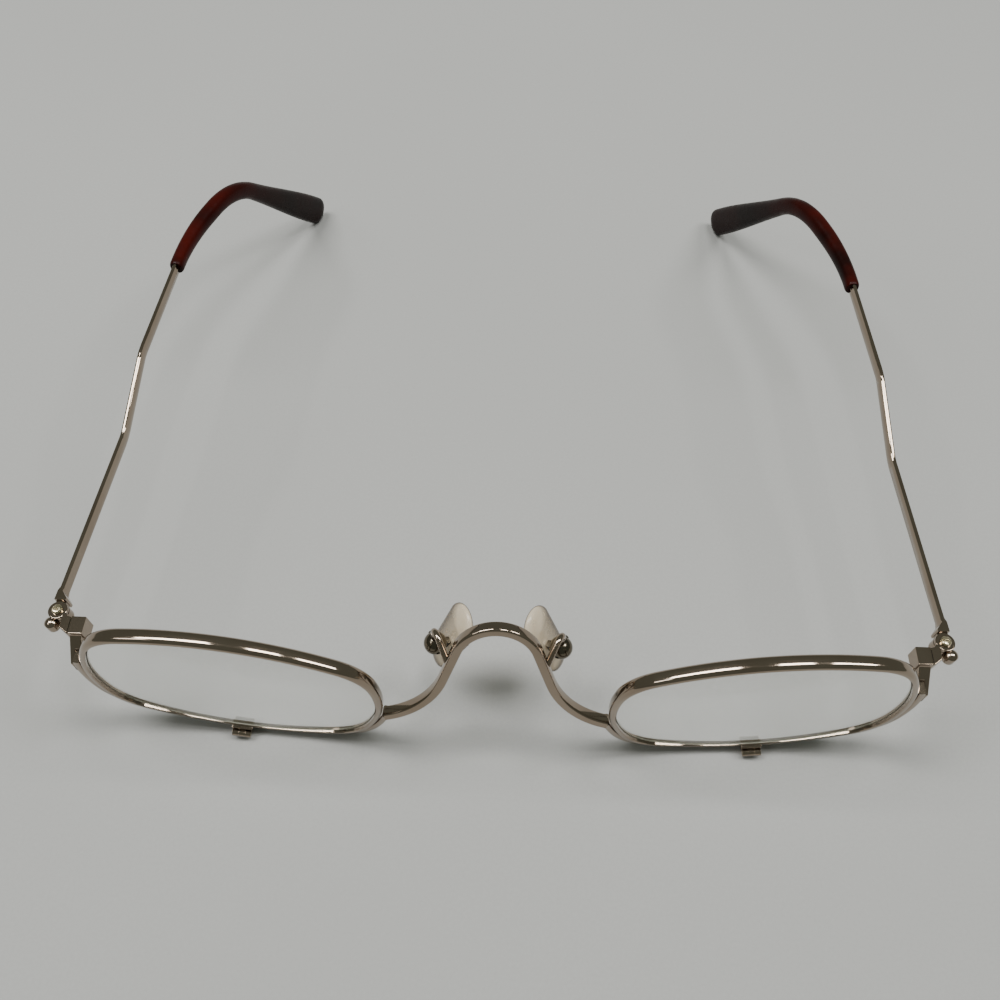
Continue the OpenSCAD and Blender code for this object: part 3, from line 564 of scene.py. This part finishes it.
# %% The lens rim's section
RIM_T, RIM_D, CROWN_R = 1.1, 2.2, 1.6
GROOVE_DEEP, GROOVE_W = 0.45, 0.9
# The crown takes this share of the depth, and small cut edges end it and the inner corners
CROWN_SHARE, CROWN_STEPS, CROWN_EDGE, INNER_EDGE = 0.95, 16, 0.09, 0.12
crown_y = [RIM_D * (k / CROWN_STEPS - 0.5) * CROWN_SHARE for k in range(CROWN_STEPS + 1)]
# At its ends the crown is as low as an arc of CROWN_R, and a fourth power keeps its middle flat
crown_low = CROWN_R - sqrt(CROWN_R**2 - crown_y[0] ** 2)
crown = [(-crown_low * (y / crown_y[0]) ** 4, y) for y in crown_y]
shoulder = -crown_low - CROWN_EDGE
rim_section = (
    [(-RIM_T, -RIM_D / 2 + INNER_EDGE), (-RIM_T + INNER_EDGE, -RIM_D / 2), (shoulder, -RIM_D / 2)]
    + crown
    + [(shoulder, RIM_D / 2), (-RIM_T + INNER_EDGE, RIM_D / 2), (-RIM_T, RIM_D / 2 - INNER_EDGE)]
    + [(-RIM_T, GROOVE_W / 2), (GROOVE_DEEP - RIM_T, GROOVE_W / 2)]
    + [(GROOVE_DEEP - RIM_T, -GROOVE_W / 2), (-RIM_T, -GROOVE_W / 2)]
)
print("rim section:", len(rim_section), "points, crown", round(crown_low, 2), "mm high")

# %% Sweep the lens rims
for side in ("left", "right"):
    bm = swept_wire(rim_section, rim_path(-end_angle, 360 - end_angle), closed=True)
    node = side + "_lens_rim"
    finish_piece(bm, node + "_wire", side + "_lens_unit", "gold_plate", [node], side == "left")

# %% [markdown]
# ## Lower rims
# The fixed half of each rim is plain flat wire with softened edges. It follows the same outline,
# a little outside the lens rim and half a millimetre further back, so that the lens closes
# against it. Its inner end stops inside the bridge's foot and its outer end runs up into the end
# piece's arm, because both joints are soldered and show no loose end.

# %% Sweep the lower rims
SEAT_GAP, LOWER_T, LOWER_D, LOWER_EDGE = 0.3, 1.1, 2.0, 0.3
# From the lens rim's front face back to the lower rim's
LOWER_SET = 0.6
# The inner end lies below the outline's middle line, and the outer end above it
INNER_END, OUTER_END = 7.6, 3.5
lower_section = [
    (x + SEAT_GAP + LOWER_T / 2, y + RIM_D / 2 - LOWER_SET - LOWER_D / 2)
    for x, y in rounded_section(LOWER_T, LOWER_D, LOWER_EDGE)
]
for side in ("left", "right"):
    bm = swept_wire(lower_section, rim_path(180 + INNER_END, 360 + OUTER_END))
    node = side + "_lower_rim"
    finish_piece(bm, node + "_wire", "front", "gold_plate", [node], side == "left")

# %% [markdown]
# ## Nose bridge
# The bridge is one bar bent in its own plane: a flared foot, a straight leg, the arch over the
# nose, and the same again the other way round. The plane leans back, so the arch clears the brow.
# The arch's radius and the slopes are chosen, and the foot's radius and the leg's length follow
# from how far the bar has to go across and down to reach the lower rim.

# %% Lay out the bridge
# RISE is the arch's height over the feet along that plane, and LEAN is the plane's own angle.
# LEG and FOOT are the angles of the bar's straight legs and of its feet to the upright
RISE, ARCH_R, LEG, FOOT, LEAN = 18.6, 6.6, 20.0, 75.0, 24.5
# Where on the outline the feet stand, and how far the bar's ends go into the wire
FOOT_AT, FOOT_INTO = 188, 0.7
foot_turn = radians(FOOT_AT)
foot_out = END_R + SEAT_GAP + LOWER_T
foot_uv = (-end_centre + foot_out * cos(foot_turn), foot_out * sin(foot_turn))
lower_y = -RIM_D / 2 + LOWER_SET + LOWER_D / 2
foot = RIM_PLACE @ Vector((foot_uv[0], lower_y, foot_uv[1]))
across = foot.x - ARCH_R * cos(radians(LEG))
down = RISE - ARCH_R * (1 - sin(radians(LEG)))
foot_dx = cos(radians(LEG)) - cos(radians(FOOT))
foot_ds = sin(radians(FOOT)) - sin(radians(LEG))
slope = sin(radians(LEG)) / cos(radians(LEG))
foot_r = (across - down * slope) / (foot_dx - slope * foot_ds)
leg_run = (down - foot_r * foot_ds) / cos(radians(LEG))
print("bridge foot radius", round(foot_r, 2), "leg", round(leg_run, 2), "mm")

# %% Sweep the bridge
BRIDGE_T, BRIDGE_D, BRIDGE_EDGE = 1.5, 2.1, 0.38
start = (
    Matrix.Translation((-foot.x, foot.y, foot.z))
    @ Matrix.Rotation(radians(90 - LEAN), 4, "X")
    @ Matrix.Rotation(radians(90 - FOOT), 4, "Z")
    @ Matrix.Translation((-FOOT_INTO, 0, 0))
)
bridge_steps = [
    (FOOT_INTO, foot_r, FOOT - LEG, 0),
    (leg_run, ARCH_R, 180 - 2 * LEG, 180),
    (leg_run, foot_r, FOOT - LEG, 0),
    (FOOT_INTO, 0, 0, 0),
]
bridge_section = rounded_section(BRIDGE_T, BRIDGE_D, BRIDGE_EDGE)
bm = swept_wire(bridge_section, bent_path(start, bridge_steps))
finish_piece(bm, "bridge_bar", "front", "gold_plate", ["bridge"])

# %% [markdown]
# ## Lenses
# A lens is a piece between two shallow spheres. The front is the rounder one and the back is a
# little hollow, so the middle is thicker than the edge and things behind it look larger. All
# round its edge runs a narrow bevel that sits in the rim's groove. The mesh starts with rings on
# the outline, which make the bevel. On each side of it a ring is then pushed inwards again and
# again while it shrinks, and every one of its vertices is moved onto its sphere.

# %% Thickness and place of a lens
LENS_FRONT_R, LENS_BACK_R, LENS_EDGE, LENS_PLAY = 250.0, 600.0, 1.1, 0.05
BEVEL_W = GROOVE_W - 2 * LENS_PLAY
rim_in = RIM_W / 2 - RIM_T


def bow(radius, r):
    """How far a sphere falls back from its top at the distance r from its middle."""
    return radius - sqrt(radius**2 - r**2)


LENS_BACK = GROOVE_W / 2 - bow(LENS_BACK_R, RIM_H / 2 - RIM_T)
LENS_FRONT = LENS_EDGE - LENS_BACK - bow(LENS_BACK_R, rim_in) + bow(LENS_FRONT_R, rim_in)
print("lens: front", round(LENS_FRONT, 2), "mm and back", round(LENS_BACK, 2), "mm from the rim's plane")

# %% A ring on the outline, and a face ground from one
lens_outline = [RIM_PLACE.inverted() @ here for here in rim_path(-end_angle, 360 - end_angle)[:-1]]
FACE_RINGS = 15


def lens_ring(bm, inset):
    return [bm.verts.new((here @ Vector((0, -inset, 0))).to_tuple()) for here in lens_outline]


def ground_face(bm, loop, front):
    """Pushes a ring inwards to the middle, lays it on its sphere and returns its vertices."""
    pushed = bmesh.ops.extrude_edge_only(bm, edges=loop)["geom"]
    surface = verts_in(pushed)
    size = 1.0
    for k in range(1, FACE_RINGS):
        wanted = 1 - k / FACE_RINGS
        pushed = bmesh.ops.extrude_edge_only(bm, edges=edges_in(pushed))["geom"]
        ring = verts_in(pushed)
        bmesh.ops.scale(bm, vec=(wanted / size, 1, wanted / size), verts=ring)
        size = wanted
        surface = surface + ring
    bmesh.ops.edgeloop_fill(bm, edges=edges_in(pushed))
    for vert in surface:
        r = sqrt(vert.co.x**2 + vert.co.z**2)
        vert.co.y = bow(LENS_FRONT_R, r) - LENS_FRONT if front else LENS_BACK + bow(LENS_BACK_R, r)
    return surface


# %% Grind the lenses
wall_in = RIM_T + LENS_PLAY
bevel_in = RIM_T - GROOVE_DEEP + LENS_PLAY
for side in ("left", "right"):
    bm = bmesh.new()
    bevel = lens_ring(bm, bevel_in)
    wall = lens_ring(bm, wall_in)
    bevel_loop = loop_through(bm, bevel)
    front_loop = loop_through(bm, wall)
    bmesh.ops.translate(bm, vec=(0, -BEVEL_W / 2, 0), verts=bevel + wall)
    bmesh.ops.bridge_loops(bm, edges=bevel_loop + front_loop)
    band = bmesh.ops.extrude_edge_only(bm, edges=bevel_loop)["geom"]
    bmesh.ops.translate(bm, vec=(0, BEVEL_W, 0), verts=verts_in(band))
    back = lens_ring(bm, wall_in)
    back_loop = loop_through(bm, back)
    bmesh.ops.translate(bm, vec=(0, BEVEL_W / 2, 0), verts=back)
    bmesh.ops.bridge_loops(bm, edges=edges_in(band) + back_loop)
    polished = set(ground_face(bm, front_loop, True))
    polished.update(ground_face(bm, back_loop, False))
    ground = bm.faces.layers.float.new("ground")
    for face in bm.faces:
        face[ground] = 0 if polished.issuperset(face.verts) else 1
    bmesh.ops.transform(bm, matrix=RIM_PLACE, verts=bm.verts)
    unit = side + "_lens_unit"
    lens = finish_piece(bm, side + "_clear_lens", unit, "clear_lens", [side + "_lens"], side == "left")
    # Clear resin lets the light through, so the lens itself throws no shadow, and its rim does
    lens.visible_shadow = False

# %% [markdown]
# ## Temple tips
# Each tip is a sleeve of acetate, pushed over the temple's core wire and bent round the ear. It
# starts round and slim and ends in a flat paddle, so the ring grows and flattens as it is swept.

# %% Bends and length of a tip
# Where the tip starts, from the hinge: outwards, back and up, with the temple turned in a little
TIP_X, TIP_Y, TIP_UP, TEMPLE_IN = 0.85, 70.746, 4.7, 3.6
# A straight lead, a bend inwards, a straight run and the bend down behind the ear
TIP_LEAD, TIP_IN_R, TIP_IN, TIP_RUN, EAR_R, EAR = 1.0, 50.0, 17.0, 1.5, 18.0, 46.0
# Half heights and half widths at the start, before the ear bend and at the paddle
START_H, START_T, MID_H, MID_T, PADDLE_H, PADDLE_T = 1.4, 1.3, 1.7, 1.55, 3.1, 1.5
ear_at = TIP_LEAD + radians(TIP_IN) * TIP_IN_R + TIP_RUN
ear_len = radians(EAR) * EAR_R
# The paddle's end comes down to the table
tail = (HINGE.z + TIP_UP - EAR_R * (1 - cos(radians(EAR))) - PADDLE_H) / sin(radians(EAR))
tip_l = ear_at + ear_len + tail
print("tip length", round(tip_l + PADDLE_H, 1), "mm")

# %% Width and height along a tip
# Rings round the open mouth, where the rim is a little rounded
MOUTH_RINGS, MOUTH_EASE = [0, 0.15, 0.35, 0.6], 0.12
MOUTH = MOUTH_RINGS[-1]
# The height grows from this share of the ear bend on, and is full a little before the end
SWELL_FROM, FULL_BEFORE = 0.7, 2


def ramp(x):
    """From 0 to 1 with a soft start and a soft end."""
    c = min(max(x, 0), 1)
    return c * c * (3 - 2 * c)


def tip_size(s):
    close = sqrt(1 - (max(s - tip_l, 0) / PADDLE_H) ** 2)
    open_end = 1 - MOUTH_EASE * max(1 - s / MOUTH, 0) ** 2
    high = START_H + (MID_H - START_H) * ramp(s / ear_at)
    swell = ear_at + ear_len * SWELL_FROM
    high += (PADDLE_H - MID_H) * ramp((s - swell) / (tip_l - FULL_BEFORE - swell))
    thick = START_T + (MID_T - START_T) * ramp(s / ear_at)
    thick += (PADDLE_T - MID_T) * ramp((s - ear_at - ear_len) / (tip_l - ear_at - ear_len))
    return close * open_end * thick, close * open_end * high


# %% A path along a tip
TIP_RINGS = 90
# The round end's rings, by their angle round it, which stop just short of a point
END_RINGS = range(8, 89, 8)


def tip_path():
    """Matrices that follow both bends and also give each ring its width and height."""
    stations = MOUTH_RINGS + [MOUTH + (tip_l - MOUTH) * k / TIP_RINGS for k in range(1, TIP_RINGS + 1)]
    stations += [tip_l + PADDLE_H * sin(radians(turn)) for turn in END_RINGS]
    at = Vector((TIP_X, TIP_Y, TIP_UP))
    place = Matrix.Translation(HINGE) @ Matrix.Rotation(radians(TEMPLE_IN), 4, "Z")
    path = []
    for k, s in enumerate(stations):
        half = (s + stations[k - 1]) / 2 if k else 0
        for where, move in ((half, True), (s, False)):
            yaw = radians(min(max(degrees((where - TIP_LEAD) / TIP_IN_R), 0), TIP_IN))
            pitch = radians(min(max(degrees((where - ear_at) / EAR_R), 0), EAR))
            ahead = Vector((-sin(yaw) * cos(pitch), cos(yaw) * cos(pitch), -sin(pitch)))
            if move and k:
                at = at + ahead * (s - stations[k - 1])
        sideways = Vector((cos(yaw), sin(yaw), 0))
        above = sideways.cross(ahead)
        thick, high = tip_size(s)
        axes = Matrix((ahead, sideways * thick, above * high)).transposed().to_4x4()
        path.append(place @ Matrix.Translation(at) @ axes)
    return path


# %% Sweep the temple tips
# A power of 2 would make the section round, and a little more makes it slightly square
TIP_SIDES, TIP_POWER = 32, 2.3
tip_section = []
for k in range(TIP_SIDES):
    c, d = cos(2 * pi * k / TIP_SIDES), sin(2 * pi * k / TIP_SIDES)
    x = abs(c) ** (2 / TIP_POWER) * (1 if c >= 0 else -1)
    y = abs(d) ** (2 / TIP_POWER) * (1 if d >= 0 else -1)
    tip_section.append((x, y))
for side in ("left", "right"):
    bm = swept_wire(tip_section, tip_path())
    node, unit = side + "_temple_tip", side + "_temple_unit"
    finish_piece(bm, side + "_tortoise_tip", unit, "tip_plastic", [node], side == "left", crisp=60)

# %% [markdown]
# ## Nose pads
# A pad is a soft flat drop, fuller at the top than at the bottom. A sphere makes it: the upper
# half is moved up, the lower half is shrunk and moved down, which leaves a straight band
# between them, and the whole is pressed flat.

# %% Size and place of a pad
PAD_AT = Vector(joints["right_pad_rock"]["pos_m"]) * METRE
PAD_L, PAD_W, PAD_T = 14.6, 7.6, 2.4
# The round of the upper end, and of the lower end, which is a fifth smaller
PAD_UPPER_R = PAD_W / 2
PAD_LOWER_R = PAD_UPPER_R * 0.8
# From the rocking axis to the pad's outer face, and from there back and down to its middle
PAD_OFF, PAD_SHIFT, PAD_DROP = 2.3, 1.1, 0.45
# The pads open towards the back, and they lean together at the top as the nose does
PAD_OPEN, PAD_LEAN = -20, -26
PAD_TURN = Matrix.Rotation(radians(PAD_OPEN), 4, "Z") @ Matrix.Rotation(radians(PAD_LEAN), 4, "Y")
print("right pad rocks at", [round(v, 2) for v in PAD_AT])

# %% Shape the nose pads
for side in ("left", "right"):
    bm = bmesh.new()
    bmesh.ops.create_uvsphere(bm, u_segments=48, v_segments=32, radius=PAD_UPPER_R)
    # The sphere's widest ring, at a height of nought, belongs to the lower half
    top = [v for v in bm.verts if v.co.z > 0.001]
    low = [v for v in bm.verts if v.co.z <= 0.001]
    bmesh.ops.scale(bm, vec=(PAD_LOWER_R / PAD_UPPER_R,) * 3, verts=low)
    bmesh.ops.translate(bm, vec=(0, 0, PAD_L / 2 - PAD_UPPER_R), verts=top)
    bmesh.ops.translate(bm, vec=(0, 0, PAD_LOWER_R - PAD_L / 2), verts=low)
    bmesh.ops.scale(bm, vec=(PAD_T / PAD_W, 1, 1), verts=bm.verts)
    bmesh.ops.translate(bm, vec=(-PAD_OFF - PAD_T / 2, PAD_SHIFT, -PAD_DROP), verts=bm.verts)
    bmesh.ops.transform(bm, matrix=Matrix.Translation(PAD_AT) @ PAD_TURN, verts=bm.verts)
    node, unit = side + "_nose_pad", side + "_pad_unit"
    finish_piece(bm, side + "_vinyl_pad", unit, "pad_plastic", [node], side == "left", crisp=80)

# %% [markdown]
# ## Small metal parts
# The hinges, boxes and screws are turned, stamped or cut, and CAD already has their exact
# shapes. All that they lack is the tiny rounding that plating and polishing leave on every edge,
# which is what catches the light. A copy of each gets a bevel only where two faces meet sharply.

# %% The small parts
# Body, finish and width of the softened edge
SMALL = {
    "end_piece": ("front", "gold_plate", 0.15),
    "temple_screw": ("front", "screw_metal", 0.05),
    "flip_base": ("front", "gold_plate", 0.06),
    "flip_pin": ("front", "screw_metal", 0.03),
    "pad_arm": ("front", "gold_plate", 0.03),
    "pad_box": ("front", "screw_metal", 0.06),
    "pad_screw": ("front", "screw_metal", 0.03),
    "flip_leaf": ("lens_unit", "gold_plate", 0.06),
    "temple": ("temple_unit", "gold_plate", 0.1),
    "pad_stud": ("pad_unit", "screw_metal", 0.05),
}
print(len(SMALL), "kinds of small parts on each side")

# %% Soften the edges of the small parts
# Flatter than this the CAD mesh is one face, and from this angle on an edge is softened
ONE_FACE, SOFT_EDGE = 1, 35


def softened(node, body, slot, width):
    bm = bmesh.new()
    bm.from_mesh(nodes[node].data)
    bmesh.ops.remove_doubles(bm, verts=bm.verts, dist=WELD)
    bmesh.ops.dissolve_limit(bm, angle_limit=radians(ONE_FACE), verts=bm.verts, edges=bm.edges)
    bmesh.ops.scale(bm, vec=(METRE,) * 3, verts=bm.verts)
    piece = finish_piece(bm, node + "_softened", body, slot, [node])
    edge = piece.modifiers.new("soft edges", "BEVEL")
    edge.width = width / METRE
    edge.segments = 2
    edge.limit_method = "ANGLE"
    edge.angle_limit = radians(SOFT_EDGE)
    edge.harden_normals = True
    # The end piece has edges so short that the clamp would leave all of its others hard
    edge.use_clamp_overlap = not node.endswith("end_piece")


for side in ("left", "right"):
    for part, (body, slot, width) in SMALL.items():
        softened(side + "_" + part, body if body == "front" else side + "_" + body, slot, width)

# %% [markdown]
# ## Table
# The glasses stand on a plain pale table. A little unevenness in its grey keeps it from looking
# like paper, and it is far too weak to draw the eye away from the glasses.

# %% Table
bpy.ops.mesh.primitive_plane_add(size=3, location=(0, 0, 0))
table = bpy.context.object
table.name = "table"
table_finish, table_tree, table_shader = new_material("pale matt table top")
table_place = add_node(table_tree, "ShaderNodeTexCoord")
# Specks about half a millimetre across, and broad patches of faint painted shade a hand's width across
SPECK, SHADE_PATCH = 0.556, 111.0
specks = add_node(
    table_tree,
    "ShaderNodeTexNoise",
    {"Scale": METRE / SPECK, "Detail": 1},
    {"Vector": table_place.outputs["Object"]},
)
# Painted shade in broad faint patches, as soft folds would throw, multiplied with the specks
painted_shade_patches = add_node(
    table_tree,
    "ShaderNodeTexNoise",
    {"Scale": METRE / SHADE_PATCH, "Detail": 1},
    {"Vector": table_place.outputs["Object"]},
)
shade = add_node(
    table_tree,
    "ShaderNodeMath",
    None,
    {0: specks.outputs["Fac"], 1: painted_shade_patches.outputs["Fac"]},
    operation="MULTIPLY",
)
table_grey = add_node(
    table_tree,
    "ShaderNodeMix",
    {COLOUR_A: linear("#9b9b98"), COLOUR_B: linear("#a7a7a4")},
    {FACTOR: shade.outputs["Value"]},
    data_type="RGBA",
)
table_tree.links.new(table_grey.outputs[MIXED_COLOUR], table_shader.inputs["Base Color"])
table_shader.inputs["Roughness"].default_value = 0.95
table.data.materials.append(table_finish)
print("table:", table_finish.name)

# %% [markdown]
# ## Light
# Polished metal shows nothing but its surroundings, so the light matters as much as the finish.
# Three level panels overhead give the rims their row of bright patches, a weak lamp fills in
# from the left, and the room around them is dim, which keeps the rest of the metal dark.


# %% Lamps and room
def soft_lamp(name, place, size, power):
    """A rectangular lamp that shines straight down. Place and size are in metres."""
    lamp = bpy.data.lights.new(name, "AREA")
    lamp.shape = "RECTANGLE"
    lamp.size, lamp.size_y = size
    lamp.energy = power
    holder = bpy.data.objects.new(name, lamp)
    bpy.context.scene.collection.objects.link(holder)
    holder.location = place
    print(name, "gives", power, "W from", size[0], "by", size[1], "m")


soft_lamp("left_panel", (-0.48, 0.06, 1.0), (0.62, 0.32), 11.4)
soft_lamp("middle_panel", (0.22, 0.06, 1.0), (0.24, 0.32), 4.4)
soft_lamp("right_panel", (0.72, 0.06, 1.0), (0.44, 0.32), 7.9)
soft_lamp("fill", (-0.75, -0.3, 0.8), (0.3, 0.3), 1.5)
world = bpy.data.worlds.new("room")
bpy.context.scene.world = world
world.use_nodes = True
room = world.node_tree.nodes["Background"]
room.inputs["Color"].default_value = linear("#7f847c")
room.inputs["Strength"].default_value = 0.86

# %% [markdown]
# ## Camera
# The camera stands where the photograph was taken from. Its place was found by matching measured
# points of the photograph to the same points of the CAD model, until both fell together.

# %% Camera
# The lens, as a focal length in pixels of a picture this wide
FOCAL_PX, PICTURE_PX = 931.0, 1000
# Height over the level and turn to the side as angles, roll of the picture, and distance
TILT, AROUND, ROLL, DISTANCE = 57.84, 1.72, 0.49, 173.4
# The point looked at, behind the rims' plane and above the table, and the slide in the picture
LOOK_BACK, LOOK_UP = 40, 10
SLIDE = (-0.82, 1.38)
camera = bpy.data.cameras.new("camera")
camera.sensor_width = 36
camera.lens = FOCAL_PX / PICTURE_PX * camera.sensor_width
camera.clip_start = 0.01
viewer = bpy.data.objects.new("camera", camera)
bpy.context.scene.collection.objects.link(viewer)
tilt, around, roll = radians(TILT), radians(AROUND), radians(ROLL)
backward = Vector((sin(around) * cos(tilt), -cos(around) * cos(tilt), sin(tilt)))
level = (-backward).cross(Vector((0, 0, 1))).normalized()
upward = level.cross(-backward)
right_hand = cos(roll) * level + sin(roll) * upward
upright = -sin(roll) * level + cos(roll) * upward
target = Vector((0, LOOK_BACK + MIDDLE, LOOK_UP))
place = target + backward * DISTANCE + right_hand * SLIDE[0] + upright * SLIDE[1]
turned = Matrix((right_hand, upright, backward)).transposed().to_4x4()
viewer.matrix_world = Matrix.Translation(place / METRE) @ turned
bpy.context.scene.camera = viewer
bpy.context.scene.view_settings.view_transform = "AgX"
print("camera at", [round(v, 1) for v in place], "mm with a", round(camera.lens, 1), "mm lens")
